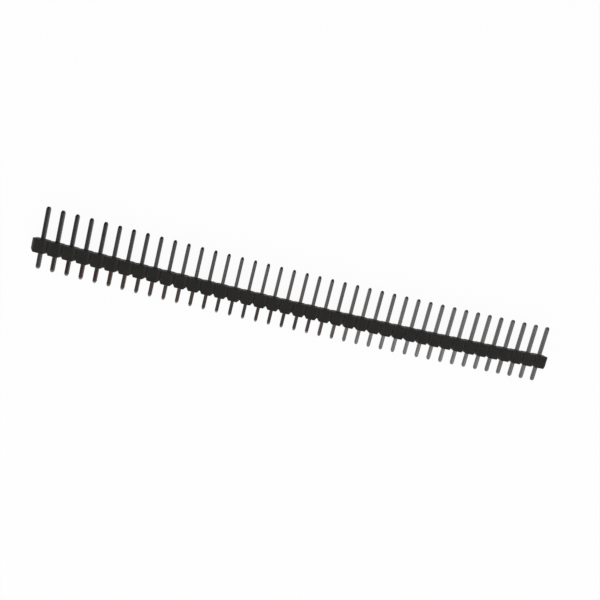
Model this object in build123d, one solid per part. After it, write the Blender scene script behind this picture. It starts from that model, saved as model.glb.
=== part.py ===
"""A straight single-row pin header, lying on its side.

The row runs along X, the long ends of the pins point along +Y, and the strip rests on z = 0.
The origin is under the middle of the whole part.
"""
import os
from math import atan, degrees

from build123d import *

# Row
pin_count = 40
pitch = 2.54
bow = 0.75  # the moulding's warp: how far its ends stand ahead of its middle, towards the long ends

# Moulded strip
body_height = 2.5  # along the pins
body_depth = 2.5  # across the row
notch_depth = 0.5  # V across the tail side at each break line
notch_width = 0.84
groove_depth = 0.5  # V down both long sides at each break line
groove_width = 1.0
end_margin = 0.18  # how far each end stands past half a pitch from its last pin

# Square pins
pin_size = 0.64
pin_corner = 0.07  # break along each long edge
long_end = 6.0
tail_end = 3.0
tip_length = 0.4
tip_size = 0.34

# Fits and cuts
hole_clearance = 0.01  # on each side of a pin
cut_overrun = 0.5  # how far a cutting shape reaches past the surface that it cuts

row_half = pitch * (pin_count - 1) / 2
row_y = (tail_end - long_end - bow) / 2
pin_places = [pitch * i - row_half for i in range(pin_count)]
strip_half = row_half + pitch / 2 + end_margin
inner_breaks = [pitch * i - row_half + pitch / 2 for i in range(pin_count - 1)]
break_lines = [-strip_half, *inner_breaks, strip_half]
across_pins = Plane(origin=(0, 0, 0), x_dir=(1, 0, 0), z_dir=(0, 1, 0))


def station(x):
    """The warped row's own frame at a place along it: X along the row, Y along the pins, at mid-depth."""
    rise = bow * (x / row_half) ** 2
    lean = degrees(atan(2 * bow * x / row_half**2))
    return Location((x, row_y + rise, body_depth / 2), (0, 0, lean))


def row_point(x, offset_x, offset_y):
    """A point given in the row's frame at x."""
    return (station(x) * Pos(offset_x, offset_y, 0)).position


def along_pin(section, start, end):
    """A section carried along a pin's line, from start to end."""
    return extrude(across_pins.offset(start) * section, amount=end - start)


def strip_outline():
    """The strip seen along Z: a plain edge on the long ends' side and notched feet on the tail side."""
    half_height = body_height / 2
    foot_half = (pitch - notch_width) / 2
    points = [row_point(x, 0, half_height) for x in reversed(break_lines)]
    for left_break, place in zip(break_lines, pin_places):
        points.append(row_point(left_break, 0, notch_depth - half_height))
        points.append(row_point(place, -foot_half, -half_height))
        points.append(row_point(place, foot_half, -half_height))
    points.append(row_point(break_lines[-1], 0, notch_depth - half_height))
    return make_face(Polyline(*points, close=True))


def break_grooves():
    """The two V cuts, one on each long side, that mark a break line."""
    mouth = body_depth / 2 + cut_overrun
    root = body_depth / 2 - groove_depth
    mouth_half = groove_width / 2 * (mouth - root) / groove_depth
    reach = body_height / 2 + cut_overrun
    corners = ((-mouth_half, mouth), (mouth_half, mouth), (0, root))
    one_side = along_pin(make_face(Polyline(*corners, close=True)), -reach, reach)
    return [one_side, mirror(one_side, about=Plane.XY)]


def pin_hole():
    """The square hole that a pin is pressed through."""
    size = pin_size + 2 * hole_clearance
    reach = body_height / 2 + cut_overrun
    return along_pin(Rectangle(size, size), -reach, reach)


def insulator():
    """The whole moulding: notched outline, break grooves and pin holes."""
    strip = extrude(strip_outline(), amount=body_depth / 2, both=True)
    cuts = [station(x) * groove for x in break_lines for groove in break_grooves()]
    cuts += [station(x) * pin_hole() for x in pin_places]
    return strip - cuts


def pointed_bar(start, end):
    """A square bar along a pin's line, with a four-sided bevel at both ends."""
    bar = along_pin(Rectangle(pin_size, pin_size), start, end)
    bevel_inset = (pin_size - tip_size) / 2
    for which_end in (0, -1):
        end_face = bar.faces().sort_by(Axis.Y)[which_end]
        bar = chamfer(end_face.edges(), bevel_inset, tip_length, reference=end_face)
    return bar


def pin():
    """One pin about the strip's middle: square wire with broken edges and bevelled tips."""
    long_tip = body_height / 2 + long_end
    tail_tip = -body_height / 2 - tail_end
    section = chamfer(Rectangle(pin_size, pin_size).vertices(), pin_corner)
    return along_pin(section, tail_tip, long_tip) & pointed_bar(tail_tip, long_tip)


def main():
    """Writes the strip and each pin as a solid of its own."""
    os.makedirs("parts", exist_ok=True)
    export_step(insulator(), "parts/insulator.step")
    one_pin = pin()
    for number, x in enumerate(pin_places, start=1):
        export_step(station(x) * one_pin, f"parts/pin_{number:02d}.step")


main()
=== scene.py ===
"""Finishes and stages a pin header strip: a black moulding, tin-plated pins and a pale studio round them."""

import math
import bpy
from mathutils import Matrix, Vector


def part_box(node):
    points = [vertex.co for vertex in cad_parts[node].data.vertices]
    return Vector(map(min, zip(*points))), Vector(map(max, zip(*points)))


bl_info = {
    "name": "Pin header strip",
    "version": (1, 0, 0),
    "blender": (4, 5, 0),
    "location": "View3D > Sidebar > Pin header",
    "description": "Finishes the moulding and the pins of a pin header and sets a pale studio round it",
    "category": "Object",
}

import bpy
from bpy.props import FloatProperty, FloatVectorProperty, IntProperty, PointerProperty
from bpy.types import Operator, Panel, PropertyGroup
from mathutils import Quaternion, Vector

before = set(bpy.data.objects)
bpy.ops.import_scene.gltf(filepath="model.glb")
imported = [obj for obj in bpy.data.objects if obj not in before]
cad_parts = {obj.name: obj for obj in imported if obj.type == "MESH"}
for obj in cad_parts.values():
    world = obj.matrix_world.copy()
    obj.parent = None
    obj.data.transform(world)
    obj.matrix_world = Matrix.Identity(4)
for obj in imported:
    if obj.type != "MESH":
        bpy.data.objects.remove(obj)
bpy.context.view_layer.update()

MM = 0.001
WHITE = (1.0, 1.0, 1.0)
STRIP_NODE = "insulator"
PIN_NODES = sorted(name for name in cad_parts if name.startswith("pin_"))

# A colour Mix node's sockets, whose names repeat
MIX_SHARE = 0
MIX_FIRST = 6
MIX_SECOND = 7

# Facets and edges
WELD_REACH = 0.0005 * MM
PLAIN_ANGLE = math.radians(0.5)
EDGE_ANGLE = math.radians(15.0)

# Noise: its middle value, and how much finer detail it carries
NOISE_MIDDLE = 0.5
SOFT_DETAIL = 2.0
RICH_DETAIL = 3.0

# Marks on the moulding
FLOW_LENGTH = 4  # a streak's length, in blotches
FLOW_COUNT = 6  # streaks side by side in a blotch's width
BLOTCH_TONE = 0.5
FLOW_TONE = 0.3
GRAIN_TONE = 0.2
TONE_RANGE = (0.3, 0.7)
GROOVE_CORE = 0.5  # where the painted light in a groove starts to fade, in half widths of the groove
GROOVE_RIM = 1.1  # where it has faded
# How much of the painted light in the grooves shows
GROOVE_LIGHT_SHARE = 0.8
GRAIN_HEIGHT = 0.7
BLOTCH_HEIGHT = 0.3
GRAIN_BUMP = 0.3
GRAIN_DEPTH = 0.15  # in sizes of the grain
GRAIN_ROUGHNESS = 0.2
MOULDING_SHINE = 0.18

# Marks on the pins
SIDE_LEAN = (0.4, 0.65)  # how far a face turns along the row as it becomes a side
TIP_LEAN = (0.2, 0.35)  # how far a face turns along the pin as it becomes a tip
LINE_LENGTH = 50  # in widths of a draw line
STAIN_LENGTH = 2  # in widths of a stain
LINE_RANGE = (0.35, 0.75)
STAIN_RANGE = (0.5, 0.8)
PIN_DULLNESS = 0.2
LINE_DULLNESS = 0.2
STAIN_DULLNESS = 0.2
# Painted shade on the tips, standing in for their dark reflections
TIP_SHADE = 0.8
TAIL_TIP_SHADE = 0.2  # more painted shade on the tails' tips
LINE_BUMP = 0.15
LINE_DEPTH = 0.1  # in widths of a draw line
LINE_ROUGHNESS = 0.2
PLUS_X_SIDE_ROUGHNESS = 0.12

# Tarnish: places are in pitches along the row, from its middle
TAIL_FADE = 0.5  # in pitches, from the feet into the strip
BROWN_RISE = (-21.0, -17.5)
BROWN_FALL = (-1.0, 7.0)
DARK_MIDDLE = -3.5
DARK_FADE = (2.5, 7.5)  # on either side of the darkest place
PIN_BROWN = 0.15
TAIL_BROWN = 0.7  # more of it on the tails
STAIN_BROWN = 0.4
DARK_SHARE = 0.7

# Stage
WHITE_STRENGTH = 1.0
FLOOR_SIDES = 96
PICTURE_PIXELS = 600
SENSOR_WIDTH = 36.0
NEAREST_SEEN = 1.0 * MM

# Ceiling: places run along it, from behind on the left to in front on the right
RIGHTWARD = 0.8
FORWARD = 0.6
DIM_RANGE = (-0.26, 0.06)
DIM_CURVE = 1.5
PANEL_MIDDLE = 0.03
PANEL_FADE = (0.03, 0.10)  # on either side of the panel's middle
PANEL_SHARE = 0.85
LIT_RISE = (0.26, 0.36)
LIT_FALL = (0.51, 0.59)
WALL_TOP = (0.5, 0.7)  # heights between which the wall turns into the ceiling


def node_middle(name):
    """The middle of a node's box."""
    low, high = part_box(name)
    return (low + high) / 2


def pin_pitch():
    """The distance between neighbouring pins, from the middle pair."""
    half = len(PIN_NODES) // 2
    return node_middle(PIN_NODES[half]).x - node_middle(PIN_NODES[half - 1]).x


class Value:
    """One output socket in a shader. Sums on it add Math nodes to the same shader."""

    def __init__(self, shader, socket):
        self.shader = shader
        self.socket = socket

    def maths(self, operation, *operands):
        """The result of a Math node."""
        return self.shader.add("ShaderNodeMath", {"operation": operation}, dict(enumerate(operands)))

    def __add__(self, other):
        return self.maths("ADD", self, other)

    def __radd__(self, other):
        return self.maths("ADD", other, self)

    def __sub__(self, other):
        return self.maths("SUBTRACT", self, other)

    def __rsub__(self, other):
        return self.maths("SUBTRACT", other, self)

    def __mul__(self, other):
        return self.maths("MULTIPLY", self, other)

    def __rmul__(self, other):
        return self.maths("MULTIPLY", other, self)

    def __truediv__(self, other):
        return self.maths("DIVIDE", self, other)

    def __rtruediv__(self, other):
        return self.maths("DIVIDE", other, self)

    def __pow__(self, other):
        return self.maths("POWER", self, other)

    def __rpow__(self, other):
        return self.maths("POWER", other, self)

    def __abs__(self):
        return self.maths("ABSOLUTE", self)

    def floor(self):
        """The whole number below."""
        return self.maths("FLOOR", self)

    def nearest(self):
        """The nearest whole number."""
        return (self + 0.5).floor()

    def at_most(self, limit):
        """The smaller of this and a limit."""
        return self.maths("MINIMUM", self, limit)

    def ramp(self, low, high):
        """0 below low, 1 above high and smooth between."""
        sockets = {"Value": self, "From Min": low, "From Max": high}
        return self.shader.add("ShaderNodeMapRange", {"interpolation_type": "SMOOTHSTEP"}, sockets)

    def out(self, name):
        """Another output of the node that this value comes from."""
        return Value(self.shader, self.socket.node.outputs[name])


def rgba(colour):
    """A colour with full alpha, or a value as it is."""
    return colour if isinstance(colour, Value) else (*colour, 1.0)


class Shader:
    """The nodes of one material or world, which starts with none."""

    def __init__(self, owner):
        owner.use_nodes = True
        self.tree = owner.node_tree
        self.tree.nodes.clear()

    def add(self, kind, settings=None, sockets=None):
        """Adds a node: its settings, then its sockets' values or links. Gives its first output in use."""
        node = self.tree.nodes.new(kind)
        for name, setting in (settings or {}).items():
            setattr(node, name, setting)
        for key, content in (sockets or {}).items():
            if isinstance(content, Value):
                self.tree.links.new(content.socket, node.inputs[key])
            else:
                node.inputs[key].default_value = content
        used = [socket for socket in node.outputs if socket.enabled]
        return Value(self, used[0]) if used else None

    def split(self, vector):
        """The X of a vector, whose other outputs are its Y and Z."""
        return self.add("ShaderNodeSeparateXYZ", None, {"Vector": vector})

    def blend(self, share, first, second):
        """A colour between two, by the share of the second."""
        sockets = {MIX_SHARE: share, MIX_FIRST: rgba(first), MIX_SECOND: rgba(second)}
        return self.add("ShaderNodeMix", {"data_type": "RGBA"}, sockets)

    def speckle(self, size_x, size_y, size_z, detail):
        """Soft noise with features of a size along each axis of the part."""
        place = self.add("ShaderNodeTexCoord").out("Object")
        counts = (1 / size_x, 1 / size_y, 1 / size_z)
        scaled = self.add("ShaderNodeVectorMath", {"operation": "MULTIPLY"}, {0: place, 1: counts})
        return self.add("ShaderNodeTexNoise", None, {"Vector": scaled, "Scale": 1.0, "Detail": detail})


class MouldingLook(PropertyGroup):
    """The black moulding's finish."""

    deep_colour: FloatVectorProperty(
        name="Deep colour", description="The moulding's darker tone", subtype="COLOR",
        default=(0.0142, 0.0132, 0.0120), min=0.0, max=1.0)
    pale_colour: FloatVectorProperty(
        name="Pale colour", description="The moulding's lighter tone, where its filler shows",
        subtype="COLOR", default=(0.0204, 0.0193, 0.0183), min=0.0, max=1.0)
    # Painted light: a paler colour in the grooves, which cancels the shade that falls in them
    groove_light_colour: FloatVectorProperty(
        name="Groove colour", description="The paler skin in the grooves at the break lines",
        subtype="COLOR", default=(0.0370, 0.0352, 0.0336), min=0.0, max=1.0)
    groove_width: FloatProperty(
        name="Groove width", description="Width of the grooves at the break lines", subtype="DISTANCE",
        unit="LENGTH", default=1.0 * MM)
    roughness: FloatProperty(
        name="Roughness", description="How matte the moulded skin is", subtype="FACTOR",
        default=0.65, min=0.0, max=1.0)
    grain: FloatProperty(
        name="Grain", description="Size of the skin's grain", subtype="DISTANCE", unit="LENGTH",
        default=0.08 * MM)
    blotch: FloatProperty(
        name="Blotch", description="Size of the patches of tone", subtype="DISTANCE", unit="LENGTH",
        default=1.6 * MM)
    edge_round: FloatProperty(
        name="Edge round", description="Width of the moulding's rounded edges", subtype="DISTANCE",
        unit="LENGTH", default=0.08 * MM)
    edge_steps: IntProperty(
        name="Edge steps", description="Facets across a rounded edge of the moulding", default=2, min=1)


class PinLook(PropertyGroup):
    """The plated pins' finish."""

    plate_colour: FloatVectorProperty(
        name="Plate colour", description="The tin on the rolled faces", subtype="COLOR",
        default=(0.237, 0.231, 0.226), min=0.0, max=1.0)
    # Painted shade: a darker colour on the side faces and the tips that stands in for their dark
    # reflections; real dull streaks, stains and duller pins also fade to it
    dull_and_shade_colour: FloatVectorProperty(
        name="Side colour", description="The dull metal on the sheared side, the tips and the darkest tails",
        subtype="COLOR", default=(0.075, 0.073, 0.075), min=0.0, max=1.0)
    # Painted shade on the faces turned to minus X, standing in for their dark reflection
    minus_x_shade_colour: FloatVectorProperty(
        name="Minus X shade colour", description="The metal on the side that the die has rubbed", subtype="COLOR",
        default=(0.150, 0.147, 0.146), min=0.0, max=1.0)
    tail_colour: FloatVectorProperty(
        name="Tail colour", description="The brighter tin on the tails", subtype="COLOR",
        default=(0.360, 0.358, 0.356), min=0.0, max=1.0)
    tarnish_colour: FloatVectorProperty(
        name="Tarnish colour", description="The brown tarnish, most of it on the tails", subtype="COLOR",
        default=(0.172, 0.117, 0.099), min=0.0, max=1.0)
    roughness: FloatProperty(
        name="Roughness", description="How satin the plate is", subtype="FACTOR",
        default=0.3, min=0.0, max=1.0)
    draw_line: FloatProperty(
        name="Draw line", description="Width of the lines that drawing leaves along the wire",
        subtype="DISTANCE", unit="LENGTH", default=0.05 * MM)
    stain: FloatProperty(
        name="Stain", description="Size of the patches of dull plate", subtype="DISTANCE", unit="LENGTH",
        default=1.2 * MM)
    edge_round: FloatProperty(
        name="Edge round", description="Width of the wire's rounded edges", subtype="DISTANCE",
        unit="LENGTH", default=0.025 * MM)
    edge_steps: IntProperty(
        name="Edge steps", description="Facets across a rounded edge of the wire", default=2, min=1)


class StudioLook(PropertyGroup):
    """The floor, the light and the camera."""

    floor_colour: FloatVectorProperty(
        name="Floor colour", description="The pale floor", subtype="COLOR",
        default=(0.92, 0.92, 0.92), min=0.0, max=1.0)
    floor_glow: FloatProperty(
        name="Floor glow", description="Share of plain white in the floor as it is seen", subtype="FACTOR",
        default=0.95, min=0.0, max=1.0)
    floor_radius: FloatProperty(
        name="Floor radius", description="Reach of the round floor", subtype="DISTANCE", unit="LENGTH",
        default=3.0)
    ceiling_dim: FloatVectorProperty(
        name="Dim ceiling", description="The ceiling's dim ends", subtype="COLOR",
        default=(0.024, 0.030, 0.058), min=0.0)
    ceiling_soft: FloatVectorProperty(
        name="Soft ceiling", description="The ceiling between its dim ends", subtype="COLOR",
        default=(0.290, 0.280, 0.265), min=0.0)
    ceiling_lit: FloatVectorProperty(
        name="Lit ceiling", description="The ceiling's panel and its lit stretch on the right",
        subtype="COLOR", default=WHITE, min=0.0)
    wall_colour: FloatVectorProperty(
        name="Wall colour", description="The white wall round the floor", subtype="COLOR",
        default=WHITE, min=0.0)
    lamp_power: FloatProperty(
        name="Lamp power", description="Power of each soft lamp", subtype="POWER", unit="POWER", default=1.7)
    lamp_distance: FloatProperty(
        name="Lamp distance", description="How far each lamp stands from the part", subtype="DISTANCE",
        unit="LENGTH", default=0.6)
    lamp_width: FloatProperty(
        name="Lamp width", description="Width of each lamp", subtype="DISTANCE", unit="LENGTH", default=0.6)
    lamp_depth: FloatProperty(
        name="Lamp depth", description="Upright side of each lamp", subtype="DISTANCE", unit="LENGTH",
        default=0.25)
    lamp_height: FloatProperty(
        name="Lamp height", description="Angle of each lamp above the floor", subtype="ANGLE",
        unit="ROTATION", default=math.radians(20.0))
    lamp_turn: FloatProperty(
        name="Lamp turn", description="Angle of each lamp round the part, from straight in front",
        subtype="ANGLE", unit="ROTATION", default=math.radians(20.0))
    camera_place: FloatVectorProperty(
        name="Camera place", description="Where the camera is", subtype="XYZ", unit="LENGTH",
        default=(-11.305 * MM, 13.258 * MM, 85.967 * MM))
    camera_aim: FloatVectorProperty(
        name="Camera aim", description="The point on the floor in the middle of the picture", subtype="XYZ",
        unit="LENGTH", default=(-1.289 * MM, -0.224 * MM, 0.0))
    camera_roll: FloatProperty(
        name="Camera roll", description="Turn of the camera about its line of sight", subtype="ANGLE",
        unit="ROTATION", default=math.radians(-157.038))
    focal_pixels: FloatProperty(
        name="Focal length", description="Focal length in pixels of the square picture", default=446.78,
        min=1.0)


def round_edges(part, width, steps):
    """Welds a part's facets into plain faces and rounds its edges, all as modifiers."""
    weld = part.modifiers.new("Welded facets", "WELD")
    weld.merge_threshold = WELD_REACH
    plain = part.modifiers.new("Plain faces", "DECIMATE")
    plain.decimate_type = "DISSOLVE"
    plain.angle_limit = PLAIN_ANGLE
    rounds = part.modifiers.new("Rounded edges", "BEVEL")
    rounds.width = width
    rounds.segments = steps
    rounds.limit_method = "ANGLE"
    rounds.angle_limit = EDGE_ANGLE
    rounds.harden_normals = True


def give_finish(part, material):
    """Puts one material on a part."""
    part.data.materials.clear()
    part.data.materials.append(material)


def break_line(shader, reach):
    """1 at a line where the strip can be snapped, midway between pins, and 0 beyond a reach from it."""
    pitch = pin_pitch()
    along = shader.split(shader.add("ShaderNodeTexCoord").out("Object")) / pitch
    distance = abs(along - along.nearest()) * pitch
    return 1 - distance.ramp(GROOVE_CORE * reach, GROOVE_RIM * reach)


def black_moulding(look):
    """Black filled plastic: a near-black tone in soft patches, streaks of flow and a fine matte grain, with
    painted light in the grooves at the break lines that cancels their shade.
    """
    material = bpy.data.materials.new("Black moulding")
    shader = Shader(material)
    streak = look.blotch / FLOW_COUNT
    blotches = shader.speckle(look.blotch, look.blotch, look.blotch, RICH_DETAIL)
    flow = shader.speckle(FLOW_LENGTH * look.blotch, streak, streak, SOFT_DETAIL)
    grain = shader.speckle(look.grain, look.grain, look.grain, SOFT_DETAIL)
    tone = (blotches * BLOTCH_TONE + flow * FLOW_TONE + grain * GRAIN_TONE).ramp(*TONE_RANGE)
    skin = shader.blend(tone, look.deep_colour, look.pale_colour)
    # Painted light in the grooves at the break lines, which cancels the shade in them
    groove_light = break_line(shader, look.groove_width / 2) * GROOVE_LIGHT_SHARE
    bump = shader.add("ShaderNodeBump", None, {
        "Height": grain * GRAIN_HEIGHT + blotches * BLOTCH_HEIGHT,
        "Strength": GRAIN_BUMP,
        "Distance": GRAIN_DEPTH * look.grain,
    })
    plastic = shader.add("ShaderNodeBsdfPrincipled", None, {
        "Base Color": shader.blend(groove_light, skin, look.groove_light_colour),
        "Roughness": look.roughness + (grain - NOISE_MIDDLE) * GRAIN_ROUGHNESS,
        "Specular IOR Level": MOULDING_SHINE,
        "Normal": bump,
    })
    shader.add("ShaderNodeOutputMaterial", None, {"Surface": plastic})
    return material


def tin_plate(look):
    """Satin tin on drawn wire: lines along the pin, painted shade on the sides and the tips, and some pins
    duller than others.

    The tails are brighter, but tarnished: brown over the left half and darkest a little left of the middle.
    """
    material = bpy.data.materials.new("Tin plate")
    shader = Shader(material)
    part = shader.add("ShaderNodeTexCoord")
    place = shader.split(part.out("Object"))
    facing = shader.split(part.out("Normal"))
    # Painted shade: the faces turned along the row get darker colours that stand in for their dark
    # reflections
    shaded_plus_x_side = facing.ramp(*SIDE_LEAN)
    shaded_minus_x_side = (0 - facing).ramp(*SIDE_LEAN)
    tip = abs(facing.out("Y")).ramp(*TIP_LEAN)

    pitch = pin_pitch()
    along = place / pitch
    pin_tone = shader.add("ShaderNodeTexWhiteNoise", {"noise_dimensions": "1D"}, {"W": along.floor()})
    lines = shader.speckle(look.draw_line, LINE_LENGTH * look.draw_line, look.draw_line, RICH_DETAIL)
    stains = shader.speckle(look.stain, STAIN_LENGTH * look.stain, look.stain, RICH_DETAIL)

    strip_low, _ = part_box(STRIP_NODE)
    tail = 1 - place.out("Y").ramp(strip_low.y, strip_low.y + TAIL_FADE * pitch)
    brown = along.ramp(*BROWN_RISE) * (1 - along.ramp(*BROWN_FALL))
    dark = tail * (1 - abs(along - DARK_MIDDLE).ramp(*DARK_FADE))
    tarnish = (brown * (tail * TAIL_BROWN + PIN_BROWN) + tail * stains * STAIN_BROWN).at_most(1.0)
    tinned = shader.blend(tail, look.plate_colour, look.tail_colour)
    browned = shader.blend(tarnish, tinned, look.tarnish_colour)
    plated = shader.blend(dark * DARK_SHARE, browned, look.dull_and_shade_colour)

    # Painted shade on both side faces
    plus_x_shaded = shader.blend(shaded_plus_x_side, plated, look.dull_and_shade_colour)
    both_sides_shaded = shader.blend(shaded_minus_x_side, plus_x_shaded, look.minus_x_shade_colour)
    streaks = lines.ramp(*LINE_RANGE) * LINE_DULLNESS
    patches = stains.ramp(*STAIN_RANGE) * STAIN_DULLNESS
    worn = shader.blend(pin_tone * PIN_DULLNESS + streaks + patches, both_sides_shaded, look.dull_and_shade_colour)
    # Painted shade on the tips, most on the tails' tips
    tip_shade = tip * (tail * TAIL_TIP_SHADE + TIP_SHADE)

    bump = shader.add("ShaderNodeBump", None, {
        "Height": lines,
        "Strength": LINE_BUMP,
        "Distance": LINE_DEPTH * look.draw_line,
    })
    roughness = look.roughness + (lines - NOISE_MIDDLE) * LINE_ROUGHNESS
    metal = shader.add("ShaderNodeBsdfPrincipled", None, {
        "Base Color": shader.blend(tip_shade, worn, look.dull_and_shade_colour),
        "Metallic": 1.0,
        "Roughness": roughness + shaded_plus_x_side * PLUS_X_SIDE_ROUGHNESS,
        "Normal": bump,
    })
    shader.add("ShaderNodeOutputMaterial", None, {"Surface": metal})
    return material


def seen_white(shader):
    """1 for a ray that the eye sees, by way of a mirror or glass too, and 0 for light on other surfaces."""
    path = shader.add("ShaderNodeLightPath")
    rays = path + path.out("Is Glossy Ray") + path.out("Is Transmission Ray")
    return rays.at_most(1.0)


def pale_floor(look):
    """A pale matte floor that keeps a soft shadow and is seen as white."""
    material = bpy.data.materials.new("Pale floor")
    shader = Shader(material)
    matte = shader.add("ShaderNodeBsdfDiffuse", None, {"Color": rgba(look.floor_colour)})
    glow = shader.add("ShaderNodeEmission", None, {"Color": rgba(WHITE), "Strength": WHITE_STRENGTH})
    share = seen_white(shader) * look.floor_glow
    floor = shader.add("ShaderNodeMixShader", None, {0: share, 1: matte, 2: glow})
    shader.add("ShaderNodeOutputMaterial", None, {"Surface": floor})
    return material


def studio_world(look):
    """A soft ceiling over a white wall.

    The ceiling is dim at both ends, with a bright panel near its middle and a lit stretch on the right.
    """
    world = bpy.data.worlds.new("Studio")
    shader = Shader(world)
    axes = shader.split(shader.add("ShaderNodeTexCoord").out("Generated"))
    along = axes * RIGHTWARD - axes.out("Y") * FORWARD
    fade = 1 - along.ramp(*LIT_FALL)
    soft = along.ramp(*DIM_RANGE) ** DIM_CURVE * fade
    panel = (1 - abs(along - PANEL_MIDDLE).ramp(*PANEL_FADE)) * PANEL_SHARE
    lit = along.ramp(*LIT_RISE) * fade
    plain_ceiling = shader.blend(soft, look.ceiling_dim, look.ceiling_soft)
    ceiling = shader.blend(panel + lit, plain_ceiling, look.ceiling_lit)
    wall = 1 - axes.out("Z").ramp(*WALL_TOP)
    room = shader.blend(wall, ceiling, look.wall_colour)
    background = shader.add("ShaderNodeBackground", None, {"Color": room, "Strength": WHITE_STRENGTH})
    shader.add("ShaderNodeOutputWorld", None, {"Surface": background})
    return world


def add_object(name, data):
    """Puts new data into the scene as an object."""
    thing = bpy.data.objects.new(name, data)
    bpy.context.scene.collection.objects.link(thing)
    return thing


def round_floor(radius):
    """A round flat mesh at the height that the part rests on."""
    mesh = bpy.data.meshes.new("floor")
    turns = [math.tau * side / FLOOR_SIDES for side in range(FLOOR_SIDES)]
    corners = [(radius * math.cos(turn), radius * math.sin(turn), 0.0) for turn in turns]
    mesh.from_pydata(corners, [], [range(FLOOR_SIDES)])
    return mesh


def add_lamp(name, turn, look):
    """A wide soft lamp in front of the part, turned round it by an angle and aimed at it."""
    lamp = bpy.data.lights.new(name, "AREA")
    lamp.shape = "RECTANGLE"
    lamp.size = look.lamp_width
    lamp.size_y = look.lamp_depth
    lamp.energy = look.lamp_power
    stand = add_object(name, lamp)
    reach = look.lamp_distance * math.cos(look.lamp_height)
    height = look.lamp_distance * math.sin(look.lamp_height)
    stand.location = (reach * math.sin(turn), -reach * math.cos(turn), height)
    stand.rotation_mode = "QUATERNION"
    stand.rotation_quaternion = (-stand.location).to_track_quat("-Z", "Y")


def add_camera(look):
    """The camera, at the picture's viewing angle."""
    camera = bpy.data.cameras.new("camera")
    camera.sensor_width = SENSOR_WIDTH
    camera.lens = look.focal_pixels / PICTURE_PIXELS * SENSOR_WIDTH
    camera.clip_start = NEAREST_SEEN
    stand = add_object("camera", camera)
    sight = Vector(look.camera_aim) - Vector(look.camera_place)
    stand.location = look.camera_place
    stand.rotation_mode = "QUATERNION"
    stand.rotation_quaternion = Quaternion(sight, look.camera_roll) @ sight.to_track_quat("-Z", "Y")
    return stand


class PINHEADER_OT_finish_moulding(Operator):
    """Rounds the moulding's edges and gives it its black finish"""

    bl_idname = "pinheader.finish_moulding"
    bl_label = "Finish moulding"

    def execute(self, context):
        look = context.scene.pin_header_moulding
        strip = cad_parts[STRIP_NODE]
        round_edges(strip, look.edge_round, look.edge_steps)
        give_finish(strip, black_moulding(look))
        return {"FINISHED"}


class PINHEADER_OT_finish_pins(Operator):
    """Rounds each pin's edges and gives the pins their plate"""

    bl_idname = "pinheader.finish_pins"
    bl_label = "Finish pins"

    def execute(self, context):
        look = context.scene.pin_header_pins
        plate = tin_plate(look)
        for name in PIN_NODES:
            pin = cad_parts[name]
            round_edges(pin, look.edge_round, look.edge_steps)
            give_finish(pin, plate)
        return {"FINISHED"}


class PINHEADER_OT_set_stage(Operator):
    """Lays the floor and sets the light and the camera"""

    bl_idname = "pinheader.set_stage"
    bl_label = "Set stage"

    def execute(self, context):
        scene = context.scene
        look = scene.pin_header_studio
        floor = add_object("floor", round_floor(look.floor_radius))
        give_finish(floor, pale_floor(look))
        add_lamp("right_lamp", look.lamp_turn, look)
        add_lamp("left_lamp", -look.lamp_turn, look)
        scene.world = studio_world(look)
        scene.camera = add_camera(look)
        scene.view_settings.view_transform = "Standard"
        return {"FINISHED"}


class PINHEADER_PT_sidebar(Panel):
    """The steps that finish the pin header, with their settings"""

    bl_idname = "PINHEADER_PT_sidebar"
    bl_label = "Pin header"
    bl_space_type = "VIEW_3D"
    bl_region_type = "UI"
    bl_category = "Pin header"

    def draw(self, context):
        scene = context.scene
        steps = (
            (PINHEADER_OT_finish_moulding, scene.pin_header_moulding),
            (PINHEADER_OT_finish_pins, scene.pin_header_pins),
            (PINHEADER_OT_set_stage, scene.pin_header_studio),
        )
        for step, look in steps:
            box = self.layout.box()
            box.operator(step.bl_idname)
            for name in look.__annotations__:
                box.prop(look, name)


CLASSES = (
    MouldingLook,
    PinLook,
    StudioLook,
    PINHEADER_OT_finish_moulding,
    PINHEADER_OT_finish_pins,
    PINHEADER_OT_set_stage,
    PINHEADER_PT_sidebar,
)


def register():
    """Adds the classes, and the scene's settings for each step."""
    for cls in CLASSES:
        bpy.utils.register_class(cls)
    bpy.types.Scene.pin_header_moulding = PointerProperty(type=MouldingLook)
    bpy.types.Scene.pin_header_pins = PointerProperty(type=PinLook)
    bpy.types.Scene.pin_header_studio = PointerProperty(type=StudioLook)


def unregister():
    """Takes away what register has added."""
    del bpy.types.Scene.pin_header_studio
    del bpy.types.Scene.pin_header_pins
    del bpy.types.Scene.pin_header_moulding
    for cls in reversed(CLASSES):
        bpy.utils.unregister_class(cls)


def main():
    """Registers the add-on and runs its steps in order."""
    register()
    bpy.ops.pinheader.finish_moulding()
    bpy.ops.pinheader.finish_pins()
    bpy.ops.pinheader.set_stage()


if __name__ == "__main__":
    main()
